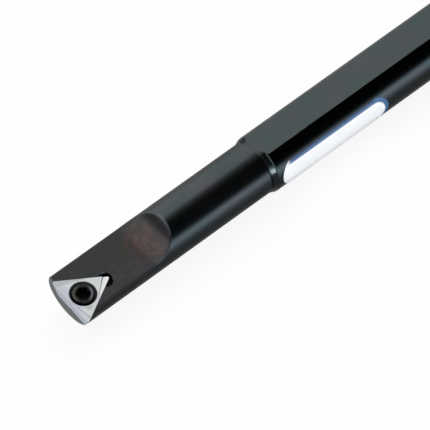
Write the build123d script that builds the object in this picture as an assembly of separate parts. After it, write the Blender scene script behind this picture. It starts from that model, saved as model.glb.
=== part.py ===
from build123d import *
from math import acos, cos, radians, sin, tan
import os

# Boring bar with a round shank, one flat, a slimmer neck and a triangular insert held by one screw.
# X runs along the bar to the cutting end, Z is square to the flat, Y points to the side that cuts.
# The origin is the centre of the rear end face. Millimetres and degrees.

# Shank and neck
shank_diameter = 12.0
shank_height = 11.0
functional_length = 150.0
rear_chamfer = 0.6
neck_diameter = 11.0
neck_length = 48.0
step_run = 1.25
step_root_radius = 0.15
step_crest_radius = 1.0
flat_overrun = 0.95
flat_cutter_radius = 5.0
flat_edge_break = 0.08

# Cutting end: the nose stands on centre height, functional_width from the axis
functional_width = 6.8
radial_rake = 17.0
lead_angle = 2.0
end_setback = 0.95
end_relief = 5.0
insert_stands_proud = 0.24
gullet_start = 16.9
gullet_radius = 8.0
gullet_edge_round = 0.22

# Insert: equilateral, positive, sharp at the top face and pulled in towards its seat
inscribed_circle = 6.35
insert_thickness = 3.18
insert_relief = 11.0
nose_radius = 0.4
insert_bore = 3.5
countersink_mouth = 5.3
countersink_angle = 60.0

# Ground chip grooves, one from each corner, running out along the edge
groove_width = 1.4
groove_taper = 12.0
groove_rake = 12.0
groove_wall = 55.0

# Pocket
seat_gap = 0.02
relief_radius = 1.45
relief_inset = 1.15
relief_extra_depth = 0.3
relief_edge_break = 0.15

# Clamping screw
screw_diameter = 3.0
screw_length = 6.3
screw_head_diameter = 4.3
screw_head_band = 0.88
screw_head_round = 0.4
screw_tip_chamfer = 0.35
thread_gap = 0.05
tapped_hole_break = 0.3
socket_lobes = 6
socket_across = 2.8
socket_depth = 1.3
socket_flute_radius = 0.45
socket_flute_depth = 0.33
socket_corner_radius = 0.2

# Label: thin film with round ends, wrapped on the shank below the flat
label_length = 26.6
label_width = 6.3
label_thickness = 0.06
label_gap_to_step = 1.0
label_turn_from_flat = 94.5

# What follows from them
shank_radius = shank_diameter / 2
neck_radius = neck_diameter / 2
flat_level = shank_height - shank_radius
crest_x = functional_length - neck_length
root_x = crest_x + step_run
step_rise = shank_radius - neck_radius
corner_count = 3
corner_angle = 360 / corner_count
half_corner = (180 - corner_angle) / 2
edge_length = 2 * inscribed_circle * sin(radians(corner_angle / 2))

# The head's own frame is rolled about the bar's axis, so that its top leans towards the cutting side.
nose_reach = functional_width * cos(radians(radial_rake))
insert_top = functional_width * sin(radians(radial_rake))
head_flat = insert_top - insert_stands_proud
nose_bearing = corner_angle / 2 - lead_angle
nose_arm = inscribed_circle - 2 * nose_radius
insert_x = functional_length - nose_radius - nose_arm * cos(radians(nose_bearing))
insert_y = nose_reach - nose_radius - nose_arm * sin(radians(nose_bearing))
clear_of_bar = shank_diameter


def in_head(shape):
    """Turn a shape from the head's frame to the bar's."""
    return Rot(X=-radial_rake) * shape


def on_insert(shape):
    """Place a shape drawn about the insert's axis, its top face at zero, in the bar's frame."""
    return in_head(Pos(insert_x, insert_y, insert_top) * Rot(Z=-lead_angle) * shape)


def cone_depth(wide, narrow):
    """Height of the countersink's cone between two diameters."""
    return (wide - narrow) / 2 / tan(radians(countersink_angle / 2))


def turned_blank():
    """Shank, step and neck as one turned shape."""
    front = functional_length + nose_radius
    outline = make_face(
        Polyline(
            (0, 0),
            (0, shank_radius - rear_chamfer),
            (rear_chamfer, shank_radius),
            (crest_x, shank_radius),
            (root_x, neck_radius),
            (front, neck_radius),
            (front, 0),
            close=True,
        )
    )
    crest = outline.vertices().sort_by_distance((crest_x, shank_radius))[0]
    outline = fillet(crest, step_crest_radius)
    root = outline.vertices().sort_by_distance((root_x, neck_radius))[0]
    outline = fillet(root, step_root_radius)
    return revolve(outline, axis=Axis.X)


def shank_flat():
    """The slab that leaves the flat. Its end is round in plan, where the cutter stopped on the neck."""
    cutter_x = crest_x + flat_overrun - flat_cutter_radius
    outline = Pos(cutter_x, 0) * Circle(flat_cutter_radius)
    outline += Pos(cutter_x, 0) * Rectangle(
        cutter_x + clear_of_bar, clear_of_bar * 2, align=(Align.MAX, Align.CENTER)
    )
    return extrude(Plane.XY.offset(flat_level) * outline, amount=clear_of_bar)


def end_cut():
    """What lies in front of the end face, which leans back below the insert."""
    face_x = functional_length - end_setback
    block = Box(
        clear_of_bar,
        clear_of_bar * 2,
        clear_of_bar * 2,
        align=(Align.MIN, Align.CENTER, Align.CENTER),
    )
    return in_head(Pos(face_x, 0, head_flat) * Rot(Y=end_relief) * block)


def gullet_cut():
    """Head flat with its round run-out, taken right across the bar."""
    start_x = functional_length - gullet_start
    top = shank_radius + step_rise
    swing = acos((gullet_radius - (top - head_flat)) / gullet_radius)
    low = (start_x, head_flat)
    halfway = (
        start_x - gullet_radius * sin(swing / 2),
        head_flat + gullet_radius * (1 - cos(swing / 2)),
    )
    high = (start_x - gullet_radius * sin(swing), top)
    front = functional_length + clear_of_bar
    outline = Curve() + [
        ThreePointArc(low, halfway, high),
        Polyline(high, (front, top), (front, head_flat), low),
    ]
    return in_head(extrude(Plane.XZ * make_face(outline), amount=clear_of_bar, both=True))


def insert_blank(gap=0.0):
    """Three-sided frustum under the insert's top face, grown by a gap for its pocket."""
    top = RegularPolygon(inscribed_circle + 2 * gap, corner_count, rotation=corner_angle / 2)
    return extrude(top, amount=insert_thickness, dir=(0, 0, -1), taper=insert_relief)


def pocket_cut():
    """Seat of the insert, the relief at its inner corner and the tapped hole."""
    relief_x = relief_inset - inscribed_circle
    flat_z = head_flat - insert_top
    relief = Pos(relief_x, 0, -insert_thickness - relief_extra_depth) * Cylinder(
        relief_radius, clear_of_bar, align=(Align.CENTER, Align.CENTER, Align.MIN)
    )
    rim = Pos(relief_x, 0, flat_z) * Cone(
        relief_radius,
        relief_radius + relief_edge_break,
        relief_edge_break,
        align=(Align.CENTER, Align.CENTER, Align.MAX),
    )
    hole_radius = screw_diameter / 2 + thread_gap
    hole = Cylinder(hole_radius, clear_of_bar, align=(Align.CENTER, Align.CENTER, Align.MAX))
    under_z = -insert_top - (neck_radius**2 - insert_y**2) ** 0.5
    mouth = Pos(0, 0, under_z) * Cone(
        hole_radius + tapped_hole_break * 2,
        hole_radius,
        tapped_hole_break * 2,
        align=(Align.CENTER, Align.CENTER, Align.CENTER),
    )
    return on_insert(insert_blank(seat_gap) + relief + rim + hole + mouth)


def make_bar():
    """The steel bar, from the rear end to the pocket."""
    blank = turned_blank() - shank_flat()
    lowest = flat_level - flat_edge_break
    highest = flat_level + flat_edge_break
    at_flat = blank.edges().filter_by_position(Axis.Z, lowest, highest)
    blank = chamfer(at_flat.sort_by(SortBy.LENGTH)[-2:], flat_edge_break) - end_cut() - gullet_cut()
    wall_top = (functional_length - gullet_start - gullet_radius / 2, 0, neck_radius)
    rim = blank.edges().filter_by(GeomType.BSPLINE).sort_by_distance(wall_top)[0]
    return fillet(rim, gullet_edge_round) - pocket_cut()


def chip_groove():
    """Wedge between a floor that falls from the edge and a back wall that runs out along it."""
    long = edge_length * 2
    floor = Rot(X=groove_rake) * Box(long, long, long, align=(Align.CENTER, Align.CENTER, Align.MIN))
    wall = Pos(0, -groove_width, 0) * Rot(Z=groove_taper) * Rot(X=90 - groove_wall) * Box(
        long, long, long, align=(Align.CENTER, Align.MIN, Align.CENTER)
    )
    return floor & wall


def make_insert():
    """Positive triangular insert with ground grooves and a countersunk bore."""
    blank = insert_blank()
    flank_edges = [edge for edge in blank.edges() if abs(edge.tangent_at(0.5).Z) > 0.5]
    body = fillet(flank_edges, nose_radius)
    mouth_height = cone_depth(countersink_mouth, insert_bore)
    body -= Cylinder(insert_bore / 2, clear_of_bar)
    body -= Cone(
        insert_bore / 2,
        countersink_mouth / 2,
        mouth_height,
        align=(Align.CENTER, Align.CENTER, Align.MAX),
    )
    for number in range(corner_count):
        bearing = corner_angle * (number + 0.5)
        corner = Rot(Z=bearing) * Pos(inscribed_circle, 0, 0) * Rot(Z=half_corner - 180)
        body -= corner * chip_groove()
    return on_insert(body)


def lobed_socket():
    """Six-lobed outline of the screw's socket."""
    flute_ring = socket_across / 2 - socket_flute_depth + socket_flute_radius
    flutes = PolarLocations(flute_ring, socket_lobes) * Circle(socket_flute_radius)
    outline = Circle(socket_across / 2) - flutes
    return fillet(outline.vertices(), socket_corner_radius)


def make_screw():
    """Countersunk screw, its cone on the insert's and its thread in the bar."""
    cone_mouth = countersink_mouth - 2 * seat_gap
    cone_top = -cone_depth(cone_mouth, screw_head_diameter)
    cone_end = -cone_depth(cone_mouth, screw_diameter)
    head_top = cone_top + screw_head_band
    head_radius = screw_head_diameter / 2
    thread_radius = screw_diameter / 2
    tip = head_top - screw_length
    outline = make_face(
        Polyline(
            (0, head_top),
            (head_radius, head_top),
            (head_radius, cone_top),
            (thread_radius, cone_end),
            (thread_radius, tip + screw_tip_chamfer),
            (thread_radius - screw_tip_chamfer, tip),
            (0, tip),
            close=True,
        )
    )
    rim = outline.vertices().sort_by_distance((head_radius, head_top))[0]
    outline = fillet(rim, screw_head_round)
    body = revolve(Plane.XZ * outline, axis=Axis.Z)
    socket = extrude(Pos(0, 0, head_top) * lobed_socket(), amount=socket_depth, dir=(0, 0, -1))
    return on_insert(body - socket)


def make_label():
    """Film on the round of the shank, cut to a long shape with round ends."""
    film = Cylinder(shank_radius + label_thickness, label_length)
    film -= Cylinder(shank_radius, label_length)
    half_turn = label_width / 2 / shank_radius
    seen_half = (shank_radius + label_thickness) * sin(half_turn)
    middle = label_length / 2 - label_width / 2
    outline = Rectangle(middle * 2, seen_half * 2)
    for end in (-middle, middle):
        outline += Pos(end, 0) * Ellipse(label_width / 2, seen_half)
    cutter = extrude(outline, amount=shank_diameter)
    film = Rot(Y=90) * film & cutter
    centre_x = crest_x - label_gap_to_step - label_length / 2
    return Pos(centre_x, 0, 0) * Rot(X=-label_turn_from_flat) * film


def write(name, shape):
    """Check for one solid and write it."""
    solids = shape.solids()
    print(name, len(solids), "solid, volume", round(sum(solid.volume for solid in solids), 3))
    solid = solids[0]
    solid.label = name
    export_step(solid, os.path.join("parts", name + ".step"))


def main():
    os.makedirs("parts", exist_ok=True)
    write("bar", make_bar())
    write("insert", make_insert())
    write("insert_screw", make_screw())
    write("label", make_label())


main()
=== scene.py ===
import math

import bpy
from mathutils import Matrix, Vector


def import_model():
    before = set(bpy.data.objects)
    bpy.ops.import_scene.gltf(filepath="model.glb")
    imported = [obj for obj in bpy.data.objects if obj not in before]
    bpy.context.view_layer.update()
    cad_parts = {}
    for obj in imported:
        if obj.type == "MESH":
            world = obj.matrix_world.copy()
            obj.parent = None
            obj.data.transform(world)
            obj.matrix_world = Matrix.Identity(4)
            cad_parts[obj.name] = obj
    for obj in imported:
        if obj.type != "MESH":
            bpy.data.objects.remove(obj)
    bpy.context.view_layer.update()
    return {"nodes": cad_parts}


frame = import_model()
nodes = frame["nodes"]

MM = 0.001

# Places on the object that the materials follow, in millimetres and radians. The head's frame is
# rolled by RAKE about the bar's axis: "across" and "up" are distances in that frame.
SHANK_RADIUS = 6.0
FLAT_LEVEL = 5.0
FLAT_HALF_WIDTH = (SHANK_RADIUS ** 2 - FLAT_LEVEL ** 2) ** 0.5
REAR_CHAMFER_X = 0.6
CREST_X = 102.0
ROOT_X = CREST_X + 1.25
RAKE = math.radians(17.0)
HEAD_LEVEL = 1.748
MILL_X = 133.1
MILL_RADIUS = 8.0
INSERT_X = 146.659
INSERT_Y = 1.396
INSERT_TOP = 1.988
THREAD_PITCH = 0.5
LABEL_MIDDLE = 87.7
LABEL_TURN = math.radians(94.5)
LABEL_RADIUS = 6.06

HEAD_ACROSS = (0.0, math.cos(RAKE), -math.sin(RAKE))
HEAD_UP = (0.0, math.sin(RAKE), math.cos(RAKE))
LABEL_ACROSS = (0.0, math.cos(LABEL_TURN), -math.sin(LABEL_TURN))


# Node helpers

def new_material(name):
    mat = bpy.data.materials.new(name)
    mat.use_nodes = True
    mat.node_tree.nodes.clear()
    return mat, mat.node_tree


def add(tree, kind, **values):
    node = tree.nodes.new(kind)
    for key, value in values.items():
        setattr(node, key, value)
    return node


def put(tree, node, index, value):
    """Set an input to a number, a colour or another node's output."""
    socket = node.inputs[index]
    if isinstance(value, bpy.types.NodeSocket):
        tree.links.new(value, socket)
    else:
        socket.default_value = value


def maths(tree, operation, *values):
    node = add(tree, "ShaderNodeMath", operation=operation)
    for i, value in enumerate(values):
        put(tree, node, i, value)
    return node.outputs[0]


def less(tree, value, amount):
    return maths(tree, "SUBTRACT", value, amount)


def product(tree, *values):
    result = values[0]
    for value in values[1:]:
        result = maths(tree, "MULTIPLY", result, value)
    return result


def vector_maths(tree, operation, *values):
    node = add(tree, "ShaderNodeVectorMath", operation=operation)
    for i, value in enumerate(values):
        put(tree, node, i, value)
    return node.outputs["Value" if operation in ("DOT_PRODUCT", "LENGTH") else "Vector"]


def joined(tree, x, y, z):
    node = add(tree, "ShaderNodeCombineXYZ")
    for i, value in enumerate((x, y, z)):
        put(tree, node, i, value)
    return node.outputs[0]


def parts_of(tree, vector):
    node = add(tree, "ShaderNodeSeparateXYZ")
    tree.links.new(vector, node.inputs[0])
    return node.outputs[0], node.outputs[1], node.outputs[2]


def length_of(tree, *sides):
    """Length of a vector of two or three sides."""
    x, y, z = (sides + (0.0,))[:3]
    return vector_maths(tree, "LENGTH", joined(tree, x, y, z))


# Socket numbers of the Mix node: its two inputs and its output for colours, and for numbers
MIX_SOCKETS = {"RGBA": (6, 7, 2), "FLOAT": (2, 3, 0)}


def mixed(tree, kind, factor, a, b):
    first, second, result = MIX_SOCKETS[kind]
    node = add(tree, "ShaderNodeMix", data_type=kind)
    put(tree, node, 0, factor)
    put(tree, node, first, a)
    put(tree, node, second, b)
    return node.outputs[result]


def mix_colour(tree, factor, a, b):
    return mixed(tree, "RGBA", factor, a, b)


def mix_number(tree, factor, a, b):
    return mixed(tree, "FLOAT", factor, a, b)


def span(tree, value, low, high, out_low=0.0, out_high=1.0, smooth=True):
    """Map a value from low..high to out_low..out_high, clamped at both ends."""
    node = add(tree, "ShaderNodeMapRange", interpolation_type="SMOOTHSTEP" if smooth else "LINEAR")
    put(tree, node, 0, value)
    for i, v in enumerate((low, high, out_low, out_high)):
        node.inputs[i + 1].default_value = v
    return node.outputs[0]


def within(tree, *pairs):
    """Product of masks. Each pair is a value and its span, from where the mask is 0 to where it is 1."""
    return product(tree, *(span(tree, value, *ends) for value, ends in pairs))


def near(tree, value, middle, inner, outer):
    """One within inner of the middle, falling to nothing at outer."""
    return span(tree, maths(tree, "ABSOLUTE", less(tree, value, middle)), inner, outer, 1.0, 0.0)


def noise(tree, vector, scale, detail=3.0, rough=0.5):
    node = add(tree, "ShaderNodeTexNoise", noise_dimensions="3D")
    put(tree, node, "Vector", vector)
    node.inputs["Scale"].default_value = scale
    node.inputs["Detail"].default_value = detail
    node.inputs["Roughness"].default_value = rough
    return node.outputs["Fac"]


def place(tree):
    """Object position as a vector, in millimetres."""
    coords = add(tree, "ShaderNodeTexCoord")
    scaled = vector_maths(tree, "SCALE", coords.outputs["Object"])
    scaled.node.inputs["Scale"].default_value = 1 / MM
    return scaled


def true_normal(tree):
    return add(tree, "ShaderNodeNewGeometry").outputs["True Normal"]


def head_frame(tree, pos):
    """Distances across the head and up from the axis, with the head's roll taken out."""
    across = vector_maths(tree, "DOT_PRODUCT", pos, HEAD_ACROSS)
    up = vector_maths(tree, "DOT_PRODUCT", pos, HEAD_UP)
    return across, up


def bump(tree, height, strength, distance):
    node = add(tree, "ShaderNodeBump")
    put(tree, node, "Height", height)
    node.inputs["Strength"].default_value = strength
    node.inputs["Distance"].default_value = distance
    return node.outputs[0]


def principled(tree, **values):
    """A Principled shader, its inputs named with _ for each space."""
    shader = add(tree, "ShaderNodeBsdfPrincipled")
    for key, value in values.items():
        put(tree, shader, key.replace("_", " "), value)
    return shader.outputs[0]


def show(tree, surface):
    out = add(tree, "ShaderNodeOutputMaterial")
    tree.links.new(surface, out.inputs[0])


# Blackened steel: its tints, in pairs where the tone drifts between two

SHANK_TINTS = ((0.059, 0.086, 0.083, 1), (0.077, 0.083, 0.090, 1))
NECK_TINTS = ((0.068, 0.091, 0.091, 1), (0.088, 0.092, 0.101, 1))
HEAD_TINTS = ((0.079, 0.078, 0.070, 1), (0.068, 0.073, 0.081, 1))
BROWN_TINTS = ((0.092, 0.077, 0.078, 1), (0.124, 0.084, 0.080, 1))
END_TINTS = ((0.056, 0.058, 0.058, 1), (0.066, 0.068, 0.068, 1))
HEAD_NEAR_TINT = (0.092, 0.086, 0.098, 1)
BELOW_HEAD_TINT = (0.093, 0.084, 0.079, 1)
BLOTCH_TINT = (0.080, 0.078, 0.080, 1)
DULL_TINT = (0.054, 0.055, 0.055, 1)
EDGE_HIGHLIGHT_TINT = (0.20, 0.21, 0.215, 1)
RIM_HIGHLIGHT_TINT = (0.145, 0.148, 0.160, 1)
CORNER_SHADE_TINT = (0.016, 0.017, 0.018, 1)
GRAIN_TINT = (0.075, 0.080, 0.078, 1)

# The most that some of its masks reach
HEAD_NEAR_SHARE = 0.85
BLOTCH_SHARE = 0.35
DULL_SHARE = 0.45
EDGE_HIGHLIGHT_SHARE = 0.5
GRAIN_SHARE = 0.25

# Spans of its masks, each from where the mask is 0 to where it is full
SHANK_DRIFT = (0.36, 0.64)
HEAD_DRIFT = (0.40, 0.62)
BLOTCHED = (0.45, 0.7)
BROWN_MOTTLE = (0.34, 0.56)
EDGE_HIGHLIGHT_BLOTCH = (0.35, 0.6)
NECK_FROM_X = (CREST_X - 3.0, CREST_X + 22.0)
HEAD_FROM_X = (124.0, 127.5)
HEAD_BELOW_UP = (HEAD_LEVEL + 3.6, HEAD_LEVEL + 2.2)
HEAD_INSIDE_RADIUS = (5.47, 5.40)
HEAD_NEAR_ACROSS = (-1.0, 2.0)
NEUTRAL_FROM_X = (132.0, 139.0)
END_FROM_NORMAL = (0.75, 0.85)
FLAT_UNTIL_X = (CREST_X + 1.0, CREST_X)
RIM_FROM_RADIUS = (5.05, 5.35)
RIM_FROM_Y = (-1.0, 1.5)
RIM_UNTIL_Y = (4.6, 3.6)
CORNER_FROM_Y = (2.0, 2.8)
TURNED_FROM_X = (CREST_X, CREST_X + 1.2)

# Its bands and fades, each full up to the first value and gone at the second
FLAT_EDGE_BAND = (0.03, 0.16)
REAR_EDGE_BAND = (0.05, 0.25)
RIM_BAND = (0.12, 0.5)
CORNER_BAND = (0.14, 0.32)
BROWN_FADE = (0.15, 1.1)
DULL_FADE = (0.42, 0.66)

# The brown tint in the gullet: an oval, and how far blotches push its border
BROWN_X = 130.9
BROWN_ACROSS = 0.2
BROWN_HALF_LENGTH = 3.9
BROWN_HALF_WIDTH = 5.2
BROWN_RAGGED = 0.8

GROUND_ROUGH = (0.10, 0.13)
TURNED_ROUGH = (0.18, 0.23)
GRAIN_ROUGH = 0.05
TURNED_RELIEF = 0.7
GRAIN_RELIEF = 0.3


def gullet_oval(tree, x, across, blotch):
    """One in the middle of the brown oval on the gullet's run-out, falling off at a ragged border."""
    along = maths(tree, "DIVIDE", less(tree, x, BROWN_X), BROWN_HALF_LENGTH)
    sideways = maths(tree, "DIVIDE", less(tree, across, BROWN_ACROSS), BROWN_HALF_WIDTH)
    reach = maths(tree, "ADD", maths(tree, "POWER", along, 2.0), maths(tree, "POWER", sideways, 2.0))
    reach = maths(tree, "ADD", reach, product(tree, less(tree, blotch, 0.5), BROWN_RAGGED))
    return span(tree, reach, *BROWN_FADE, 1.0, 0.0)


def blackened_steel():
    """Black-oxided bar: ground shank, turned neck, milled head with a brownish gullet."""
    mat, tree = new_material("blackened_steel")
    pos = place(tree)
    x, y, z = parts_of(tree, pos)
    across, up = head_frame(tree, pos)
    from_axis = length_of(tree, 0.0, y, z)
    turned = noise(tree, joined(tree, x, 0.0, 0.0), scale=9.0, detail=2.0, rough=0.6)
    cloud = noise(tree, pos, scale=0.16, detail=4.0, rough=0.55)
    blotch = noise(tree, pos, scale=0.42, detail=3.0, rough=0.6)
    mottle = noise(tree, pos, scale=0.85, detail=5.0, rough=0.62)
    grain = noise(tree, pos, scale=7.0, detail=3.0, rough=0.6)

    # shank, neck, the round below the head, and the milled head with its cooler near side
    drift = span(tree, cloud, *SHANK_DRIFT)
    shank = mix_colour(tree, drift, *SHANK_TINTS)
    neck = mix_colour(tree, drift, *NECK_TINTS)
    head = mix_colour(tree, span(tree, cloud, *HEAD_DRIFT), *HEAD_TINTS)
    near_side = span(tree, across, *HEAD_NEAR_ACROSS, 0.0, HEAD_NEAR_SHARE)
    head = mix_colour(tree, near_side, head, HEAD_NEAR_TINT)
    on_head = within(tree, (x, HEAD_FROM_X), (up, HEAD_BELOW_UP), (from_axis, HEAD_INSIDE_RADIUS))
    colour = mix_colour(tree, span(tree, x, *NECK_FROM_X), shank, neck)
    colour = mix_colour(tree, span(tree, x, *NEUTRAL_FROM_X), colour, BELOW_HEAD_TINT)
    colour = mix_colour(tree, on_head, colour, head)
    blotches = product(tree, span(tree, blotch, *BLOTCHED), BLOTCH_SHARE)
    colour = mix_colour(tree, blotches, colour, BLOTCH_TINT)

    # a brownish tint on the milled run-out, dull mottling on the head, and the even end face
    tint = product(tree, gullet_oval(tree, x, across, blotch), on_head)
    brown = mix_colour(tree, span(tree, mottle, *BROWN_MOTTLE), *BROWN_TINTS)
    colour = mix_colour(tree, tint, colour, brown)
    dull = product(tree, on_head, span(tree, mottle, *DULL_FADE, DULL_SHARE, 0.0))
    colour = mix_colour(tree, dull, colour, DULL_TINT)
    on_end = span(tree, parts_of(tree, true_normal(tree))[0], *END_FROM_NORMAL)
    colour = mix_colour(tree, on_end, colour, mix_colour(tree, mottle, *END_TINTS))

    # painted highlights along the flat's long edges and the rear chamfer, broken up by blotches, and on
    # the gullet's rim;
    # painted shade in the corner on the near side of the step's root
    at_flat = product(
        tree, near(tree, maths(tree, "ABSOLUTE", y), FLAT_HALF_WIDTH, *FLAT_EDGE_BAND),
        near(tree, z, FLAT_LEVEL, *FLAT_EDGE_BAND), span(tree, x, *FLAT_UNTIL_X))
    at_rear = near(tree, x, REAR_CHAMFER_X, *REAR_EDGE_BAND)
    from_mill = length_of(tree, less(tree, x, MILL_X), less(tree, up, HEAD_LEVEL + MILL_RADIUS))
    # painted highlight on the gullet's rim
    rim_highlight = product(
        tree, near(tree, from_mill, MILL_RADIUS, *RIM_BAND), span(tree, from_axis, *RIM_FROM_RADIUS),
        span(tree, y, *RIM_FROM_Y), span(tree, y, *RIM_UNTIL_Y))
    # painted shade in the corner at the step's root, on the near side
    corner_shade = product(tree, near(tree, x, ROOT_X, *CORNER_BAND), span(tree, y, *CORNER_FROM_Y))
    highlight_breakup = span(tree, blotch, *EDGE_HIGHLIGHT_BLOTCH)
    edge_highlight = product(tree, maths(tree, "MAXIMUM", at_flat, at_rear), highlight_breakup, EDGE_HIGHLIGHT_SHARE)
    colour = mix_colour(tree, edge_highlight, colour, EDGE_HIGHLIGHT_TINT)
    colour = mix_colour(tree, rim_highlight, colour, RIM_HIGHLIGHT_TINT)
    colour = mix_colour(tree, corner_shade, colour, CORNER_SHADE_TINT)
    colour = mix_colour(tree, product(tree, grain, GRAIN_SHARE), colour, GRAIN_TINT)

    # the ground shank is smoother than what is turned and milled
    ground = mix_number(tree, cloud, *GROUND_ROUGH)
    coarse = mix_number(tree, blotch, *TURNED_ROUGH)
    rough = mix_number(tree, span(tree, x, *TURNED_FROM_X), ground, coarse)
    rough = maths(tree, "ADD", rough, product(tree, less(tree, grain, 0.5), GRAIN_ROUGH))
    relief = maths(tree, "ADD", product(tree, turned, TURNED_RELIEF), product(tree, grain, GRAIN_RELIEF))
    normal = bump(tree, relief, strength=0.05, distance=0.02 * MM)
    show(tree, principled(tree, Base_Color=colour, Roughness=rough, Normal=normal, Metallic=1.0))
    return mat


# Ground carbide: tints of the insert

GROUND_TINTS = ((0.63, 0.655, 0.65, 1), (0.71, 0.73, 0.725, 1))
GROOVE_TINTS = ((0.60, 0.635, 0.66, 1), (0.76, 0.76, 0.73, 1))
FLANK_TINTS = ((0.44, 0.47, 0.55, 1), (0.53, 0.56, 0.63, 1))
BORE_SHADE_TINTS = ((0.030, 0.031, 0.033, 1), (0.050, 0.050, 0.052, 1))
REAR_WALL_SHADE_TINT = (0.14, 0.145, 0.15, 1)
OUTER_TINT = (0.55, 0.575, 0.65, 1)
SMUDGE_TINT = (0.40, 0.45, 0.41, 1)
OUTER_SHARE = 0.85
SMUDGE_SHARE = 0.7

# Spans of its masks. A level is the cosine between a face's normal and the head's up: 1 is the top
# face, the groove floors lie at about 0.97, and the rear groove's wall at REAR_WALL_LEVEL.
GROOVE_BELOW_LEVEL = (0.995, 0.988)
GROOVE_ABOVE_LEVEL = (0.93, 0.96)
REAR_GROOVE_X = (INSERT_X - 2.0, INSERT_X - 3.0)
REAR_WALL_LEVEL = 0.574
REAR_WALL_X = (INSERT_X - 0.5, INSERT_X - 1.5)
OUTER_FROM_X = (INSERT_X + 1.0, INSERT_X + 2.3)
OUTER_UNTIL_ACROSS = (INSERT_Y + 3.4, INSERT_Y + 1.6)
OUTER_FROM_ACROSS = (INSERT_Y - 5.0, INSERT_Y - 3.0)
FLANK_BELOW_LEVEL = (0.4, 0.2)
FLANK_FROM_NORMAL = (0.5, 0.7)
SMUDGE_X = INSERT_X + 1.0
SMUDGE_ACROSS = INSERT_Y + 2.9
BORE_RADIUS = (2.66, 2.62)
BORE_BELOW_UP = (INSERT_TOP - 0.01, INSERT_TOP - 0.05)

# Its band and its fade, each full up to the first value and gone at the second
REAR_WALL_BAND = (0.03, 0.08)
SMUDGE_FADE = (0.2, 1.0)

# Factors on x and y that draw noise out into the ground lines
LINES_ALONG = 6.0
LINES_ACROSS = 0.5

INSERT_ROUGH = (0.30, 0.42)
PRESSED_ROUGH = 0.6
INSERT_METAL = 0.55
PRESSED_METAL = 0.1


def from_insert_middle(tree, x, across):
    """Offset from the screw's axis in the plane of the insert, and its length."""
    off = joined(tree, less(tree, x, INSERT_X), less(tree, across, INSERT_Y), 0.0)
    return off, vector_maths(tree, "LENGTH", off)


def ground_carbide():
    """Insert: bright ground faces with fine lines, and painted shade in its bore, which is also rougher
    and less metallic.
    """
    mat, tree = new_material("ground_carbide")
    pos = place(tree)
    x, y, z = parts_of(tree, pos)
    across, up = head_frame(tree, pos)
    _, from_axis = from_insert_middle(tree, x, across)
    normal = true_normal(tree)
    level = vector_maths(tree, "DOT_PRODUCT", normal, HEAD_UP)
    stretched = joined(tree, product(tree, x, LINES_ALONG), product(tree, y, LINES_ACROSS), z)
    lines = noise(tree, stretched, scale=2.2)
    patch = noise(tree, pos, scale=0.7)

    # ground top face, groove floors, painted shade on the wall of the rear groove, and the cooler outer
    # side
    bright = mix_colour(tree, patch, *GROUND_TINTS)
    in_groove = within(tree, (level, GROOVE_BELOW_LEVEL), (level, GROOVE_ABOVE_LEVEL))
    groove = mix_colour(tree, span(tree, x, *REAR_GROOVE_X), *GROOVE_TINTS)
    bright = mix_colour(tree, in_groove, bright, groove)
    rear_wall_shade = product(
        tree, near(tree, level, REAR_WALL_LEVEL, *REAR_WALL_BAND), span(tree, x, *REAR_WALL_X))
    bright = mix_colour(tree, rear_wall_shade, bright, REAR_WALL_SHADE_TINT)
    outer = within(tree, (x, OUTER_FROM_X), (across, OUTER_UNTIL_ACROSS), (across, OUTER_FROM_ACROSS))
    bright = mix_colour(tree, product(tree, outer, OUTER_SHARE), bright, OUTER_TINT)

    # the flank above the end face, and a greenish smudge near the nose
    flank = product(
        tree, span(tree, level, *FLANK_BELOW_LEVEL),
        span(tree, parts_of(tree, normal)[0], *FLANK_FROM_NORMAL))
    bright = mix_colour(tree, flank, bright, mix_colour(tree, patch, *FLANK_TINTS))
    from_smudge = length_of(tree, less(tree, x, SMUDGE_X), less(tree, across, SMUDGE_ACROSS))
    smudge = product(tree, span(tree, from_smudge, *SMUDGE_FADE, 1.0, 0.0), SMUDGE_SHARE)
    bright = mix_colour(tree, smudge, bright, SMUDGE_TINT)

    # painted shade in the bore, near black with patches
    in_bore = within(tree, (from_axis, BORE_RADIUS), (up, BORE_BELOW_UP))
    colour = mix_colour(tree, in_bore, bright, mix_colour(tree, patch, *BORE_SHADE_TINTS))
    rough = mix_number(tree, in_bore, mix_number(tree, lines, *INSERT_ROUGH), PRESSED_ROUGH)
    metal = mix_number(tree, in_bore, INSERT_METAL, PRESSED_METAL)
    relief = bump(tree, lines, strength=0.08, distance=0.02 * MM)
    show(tree, principled(tree, Base_Color=colour, Roughness=rough, Metallic=metal, Normal=relief))
    return mat


# Dark screw steel: tints and masks of the insert's screw

OLIVE_TINTS = ((0.066, 0.066, 0.056, 1), (0.105, 0.104, 0.092, 1))
SHADED_TINT = (0.026, 0.027, 0.026, 1)
SIDE_HIGHLIGHT_TINT = (0.21, 0.22, 0.25, 1)
RECESS_SHADE_TINT = (0.012, 0.012, 0.013, 1)
HIGHLIGHT_DIRECTION = (-0.75, 0.66, 0.0)
SHADED_FADE = (0.5, 1.5)
SHADED_SHARE = 0.75
SIDE_HIGHLIGHT_FROM = (0.9, 1.7)
SOCKET_BELOW_UP = (INSERT_TOP + 0.10, INSERT_TOP + 0.04)
SOCKET_RADIUS = (1.5, 1.46)
HEAD_RIM_RADIUS = (1.93, 2.08)
THREAD_RADIUS = (1.35, 1.40)
THREAD_BELOW_UP = (INSERT_TOP - 2.2, INSERT_TOP - 2.5)
SCREW_ROUGH = (0.24, 0.34)
BLACK_ROUGH = 0.55
PATCH_RELIEF = 0.02


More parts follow.
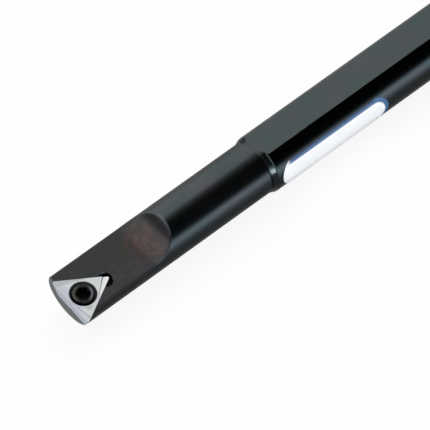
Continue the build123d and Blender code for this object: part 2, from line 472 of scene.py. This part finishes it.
def dark_screw_steel():
    """Screw: dull olive-black head with painted shade across its middle, a painted bluish highlight on one
    side, and painted shade on its rim and in its deep socket.
    """
    mat, tree = new_material("dark_screw_steel")
    pos = place(tree)
    x = parts_of(tree, pos)[0]
    across, up = head_frame(tree, pos)
    off, from_axis = from_insert_middle(tree, x, across)
    patch = noise(tree, pos, scale=2.0)

    # painted shade across the head's middle, and a painted bluish highlight towards one side
    sideways = vector_maths(tree, "DOT_PRODUCT", off, HIGHLIGHT_DIRECTION)
    shaded = span(tree, maths(tree, "ABSOLUTE", sideways), *SHADED_FADE, SHADED_SHARE, 0.0)
    colour = mix_colour(tree, patch, *OLIVE_TINTS)
    colour = mix_colour(tree, shaded, colour, SHADED_TINT)
    colour = mix_colour(tree, span(tree, sideways, *SIDE_HIGHLIGHT_FROM), colour, SIDE_HIGHLIGHT_TINT)
    # painted shade: the socket and the rim round the head near black
    in_socket = within(tree, (up, SOCKET_BELOW_UP), (from_axis, SOCKET_RADIUS))
    recess_shade = maths(tree, "MAXIMUM", in_socket, span(tree, from_axis, *HEAD_RIM_RADIUS))
    colour = mix_colour(tree, recess_shade, colour, RECESS_SHADE_TINT)
    rough = mix_number(tree, recess_shade, mix_number(tree, patch, *SCREW_ROUGH), BLACK_ROUGH)

    # the thread is relief only: a zigzag of height that climbs one pitch for each turn
    off_x, off_y, _ = parts_of(tree, off)
    turn = maths(tree, "DIVIDE", maths(tree, "ARCTAN2", off_y, off_x), 2 * math.pi)
    flight = maths(tree, "PINGPONG", maths(tree, "ADD", product(tree, up, 1 / THREAD_PITCH), turn), 0.5)
    on_thread = within(tree, (from_axis, THREAD_RADIUS), (up, THREAD_BELOW_UP))
    height = maths(tree, "ADD", product(tree, patch, PATCH_RELIEF), product(tree, flight, on_thread))
    relief = bump(tree, height, strength=0.6, distance=0.3 * MM)
    show(tree, principled(tree, Base_Color=colour, Roughness=rough, Normal=relief, Metallic=1.0))
    return mat


# Label film: its tints, and its band, measured from a line along the label's middle

WHITE_TINTS = ((0.87, 0.88, 0.90, 1), (0.92, 0.925, 0.94, 1))
BLUE_TINTS = ((0.034, 0.105, 0.24, 1), (0.052, 0.145, 0.30, 1))
NAVY_TINT = (0.008, 0.018, 0.040, 1)
NAVY_SHARE = 0.9
LINE_REAR_X = LABEL_MIDDLE - 10.15
LOWER_SIDE_LESS = -0.28
BAND_FROM = (2.10, 2.40)
BAND_UNTIL_X = (LABEL_MIDDLE + 11.9, LABEL_MIDDLE + 10.7)
NAVY_FROM = (2.60, 3.05)
NAVY_FROM_X = (LABEL_MIDDLE - 11.5, LABEL_MIDDLE - 9.5)
FILM_ROUGH = (0.22, 0.30)


def label_film():
    """Bare white film with a plain steel-blue band along both sides and the rear end."""
    mat, tree = new_material("label_film")
    pos = place(tree)
    x = parts_of(tree, pos)[0]
    patch = noise(tree, pos, scale=0.5, detail=2.0)

    # distance from the middle line round the shank, less on the lower side, where the band is narrower
    side = vector_maths(tree, "DOT_PRODUCT", pos, LABEL_ACROSS)
    arc = product(tree, maths(tree, "ARCSINE", maths(tree, "DIVIDE", side, LABEL_RADIUS)), LABEL_RADIUS)
    arc = maths(tree, "ADD", arc, product(tree, maths(tree, "MAXIMUM", arc, 0.0), LOWER_SIDE_LESS))
    behind = maths(tree, "MAXIMUM", less(tree, LINE_REAR_X, x), 0.0)
    from_line = length_of(tree, behind, arc)

    white = mix_colour(tree, patch, *WHITE_TINTS)
    blue = mix_colour(tree, patch, *BLUE_TINTS)
    navy = product(tree, within(tree, (from_line, NAVY_FROM), (x, NAVY_FROM_X)), NAVY_SHARE)
    blue = mix_colour(tree, navy, blue, NAVY_TINT)
    band = within(tree, (from_line, BAND_FROM), (x, BAND_UNTIL_X))
    colour = mix_colour(tree, band, white, blue)
    rough = mix_number(tree, patch, *FILM_ROUGH)
    show(tree, principled(tree, Base_Color=colour, Roughness=rough, Coat_Weight=0.15, Coat_Roughness=0.08))
    return mat


def give(node, mat):
    mesh = node.data
    mesh.materials.clear()
    mesh.materials.append(mat)


give(nodes["bar"], blackened_steel())
give(nodes["insert"], ground_carbide())
give(nodes["insert_screw"], dark_screw_steel())
give(nodes["label"], label_film())


# Floor

FLOOR_RADIUS = 6.0
FLOOR_SIDES = 96
FLOOR_PLACE = (0.06, 0, -SHANK_RADIUS * MM)
FLOOR_TINTS = ((0.92, 0.92, 0.92, 1), (0.94, 0.94, 0.94, 1))
OWN_WHITE_SHARE = 0.90


def floor():
    bpy.ops.mesh.primitive_circle_add(
        vertices=FLOOR_SIDES, radius=FLOOR_RADIUS, fill_type="NGON", location=FLOOR_PLACE)
    obj = bpy.context.object
    obj.name = "floor"
    mat, tree = new_material("pale_floor")
    patch = noise(tree, place(tree), scale=0.004, detail=2.0)
    shader = principled(tree, Base_Color=mix_colour(tree, patch, *FLOOR_TINTS), Roughness=0.9)

    # the camera sees mostly the floor's own white, so that the shadow on it stays light
    rays = add(tree, "ShaderNodeLightPath")
    seen = maths(tree, "MAXIMUM", rays.outputs["Is Camera Ray"], rays.outputs["Is Glossy Ray"])
    seen = maths(tree, "MAXIMUM", seen, rays.outputs["Is Transmission Ray"])
    white = add(tree, "ShaderNodeEmission")
    blend = add(tree, "ShaderNodeMixShader")
    put(tree, blend, 0, product(tree, seen, OWN_WHITE_SHARE))
    put(tree, blend, 1, shader)
    put(tree, blend, 2, white.outputs[0])
    show(tree, blend.outputs[0])
    obj.data.materials.append(mat)
    obj.visible_glossy = False


floor()


# World: a pale studio, painted by direction, with a dark opening above the near side. Angles go from
# the zenith round the bar's axis, towards the near side. Each stop is an angle, a level and a tint.

PLAIN = (1.0, 1.0, 1.0)
COOL = (0.92, 0.99, 1.12)
MIST = (0.94, 1.00, 1.03)

ALONG_BAR = (
    (-180, 0.17, PLAIN), (-150, 0.22, PLAIN), (-120, 0.26, PLAIN), (-100, 0.36, PLAIN), (-87, 0.50, PLAIN),
    (-75, 0.80, PLAIN), (-60, 1.05, PLAIN), (-20, 1.04, PLAIN), (-12, 1.00, PLAIN), (-8, 0.86, PLAIN),
    (-4.5, 0.55, PLAIN), (2, 0.25, PLAIN), (11, 0.125, PLAIN), (19, 0.03, PLAIN), (26, 0.008, PLAIN),
    (35, 0.004, PLAIN), (66, 0.008, COOL), (74, 0.03, COOL), (80, 0.08, COOL), (85, 0.30, COOL),
    (90, 0.90, COOL), (96, 1.30, COOL), (101, 1.45, COOL), (108, 1.25, COOL), (114, 0.95, COOL),
    (119, 0.68, COOL), (128, 0.36, COOL), (139, 0.24, PLAIN), (152, 0.19, PLAIN), (166, 0.17, PLAIN),
    (179, 0.17, PLAIN),
)
AHEAD = (
    (-180, 0.85, MIST), (-120, 0.85, MIST), (-100, 0.30, PLAIN), (-86, 0.15, PLAIN), (-75, 0.50, PLAIN),
    (-60, 1.00, PLAIN), (-10, 1.00, PLAIN), (10, 0.70, PLAIN), (25, 0.80, PLAIN), (70, 1.00, COOL),
    (86, 1.10, COOL), (98, 0.42, COOL), (108, 0.24, COOL), (150, 0.16, PLAIN), (179, 0.30, MIST),
)

# Spans of the direction's parts: where the sky ahead takes over, and three darker regions of it
AHEAD_X = (-0.27, -0.08)
SIDE_X = (0.16, 0.30)
SIDE_Y = (0.12, 0.34)
SIDE_Z = (0.18, 0.36)
SIDE_TINT = (0.01, 0.01, 0.01, 1)
END_X = (0.66, 0.88)
END_Z = (0.05, 0.30)
END_TINT = (0.26, 0.26, 0.28, 1)
LOW_X = (0.06, 0.18)
LOW_Y = (-0.15, -0.35)
LOW_Z = (-0.40, -0.58)
LOW_TINT = (0.02, 0.02, 0.02, 1)
LOW_SHARE = 0.20

# A small bright lamp painted in the sky, for the glint on the step's crest
SPOT_TOWARD = (0.27, 0.962, -0.03)
SPOT_COSINE = (0.982, 0.998)
SPOT_TINT = (6.0, 6.2, 6.5, 1)


def ramp(tree, share, stops):
    node = add(tree, "ShaderNodeValToRGB")
    elements = node.color_ramp.elements
    for i, (degrees, level, tone) in enumerate(stops):
        at = (degrees + 180) / 360
        element = elements[0] if i == 0 else elements[-1] if i == len(stops) - 1 else elements.new(at)
        element.position = at
        element.color = tuple(level * t for t in tone) + (1,)
    tree.links.new(share, node.inputs[0])
    return node.outputs[0]


def world():
    studio = bpy.data.worlds.new("studio")
    bpy.context.scene.world = studio
    studio.use_nodes = True
    tree = studio.node_tree
    tree.nodes.clear()
    toward = add(tree, "ShaderNodeTexCoord").outputs["Generated"]
    x, y, z = parts_of(tree, toward)
    share = span(tree, maths(tree, "ARCTAN2", y, z), -math.pi, math.pi, smooth=False)
    sky = mix_colour(tree, span(tree, x, *AHEAD_X), ramp(tree, share, ALONG_BAR), ramp(tree, share, AHEAD))

    # dark ahead of the cutting end and above the near side, and dimmer where the end face looks
    sky = mix_colour(tree, within(tree, (x, SIDE_X), (y, SIDE_Y), (z, SIDE_Z)), sky, SIDE_TINT)
    sky = mix_colour(tree, within(tree, (x, END_X), (z, END_Z)), sky, END_TINT)
    low = within(tree, (x, LOW_X), (y, LOW_Y), (z, LOW_Z))
    sky = mix_colour(tree, product(tree, low, LOW_SHARE), sky, LOW_TINT)
    spot = span(tree, vector_maths(tree, "DOT_PRODUCT", toward, SPOT_TOWARD), *SPOT_COSINE)
    sky = mix_colour(tree, spot, sky, SPOT_TINT)

    back = add(tree, "ShaderNodeBackground")
    put(tree, back, 0, sky)
    out = add(tree, "ShaderNodeOutputWorld")
    tree.links.new(back.outputs[0], out.inputs[0])


world()


# Lamps, in metres and watts

LAMP_AIM = Vector((0.12, 0, 0))


def lamp(name, stands, size, power):
    """A round soft lamp aimed at the front of the bar. Metal mirrors the world and not the lamps."""
    data = bpy.data.lights.new(name, "AREA")
    data.shape = "DISK"
    data.size = size
    data.energy = power
    obj = bpy.data.objects.new(name, data)
    bpy.context.scene.collection.objects.link(obj)
    obj.location = stands
    obj.rotation_euler = (LAMP_AIM - Vector(stands)).to_track_quat("-Z", "Y").to_euler()
    obj.visible_glossy = False


lamp("key_lamp", stands=(0.45, 0.75, 0.95), size=1.1, power=3.4)
lamp("low_lamp", stands=(0.12, 1.15, 0.12), size=0.5, power=4.8)
lamp("fill_lamp", stands=(-0.60, -0.25, 1.05), size=1.0, power=6.0)


# Camera at the photograph's angle, in metres, with its sensor and lens in millimetres

TOWARD = Vector((0.3987, 0.5746, 0.7147))
RIGHT = Vector((-0.7452, 0.6572, -0.1127))
LOOK_AT = Vector((120.42, 9.944, 7.693)) * MM
CAMERA_DISTANCE = 1.0
SENSOR_WIDTH = 36.0
LENS = 456.9
CLIP_START = 0.05
CLIP_END = 50.0


def camera():
    back = TOWARD.normalized()
    right = (RIGHT - back * RIGHT.dot(back)).normalized()
    up = back.cross(right)
    data = bpy.data.cameras.new("camera")
    data.sensor_width = SENSOR_WIDTH
    data.lens = LENS
    data.clip_start = CLIP_START
    data.clip_end = CLIP_END
    obj = bpy.data.objects.new("camera", data)
    bpy.context.scene.collection.objects.link(obj)
    turn = Matrix((right, up, back)).transposed().to_4x4()
    obj.matrix_world = Matrix.Translation(LOOK_AT + back * CAMERA_DISTANCE) @ turn
    bpy.context.scene.camera = obj


camera()
bpy.context.scene.view_settings.view_transform = "Standard"
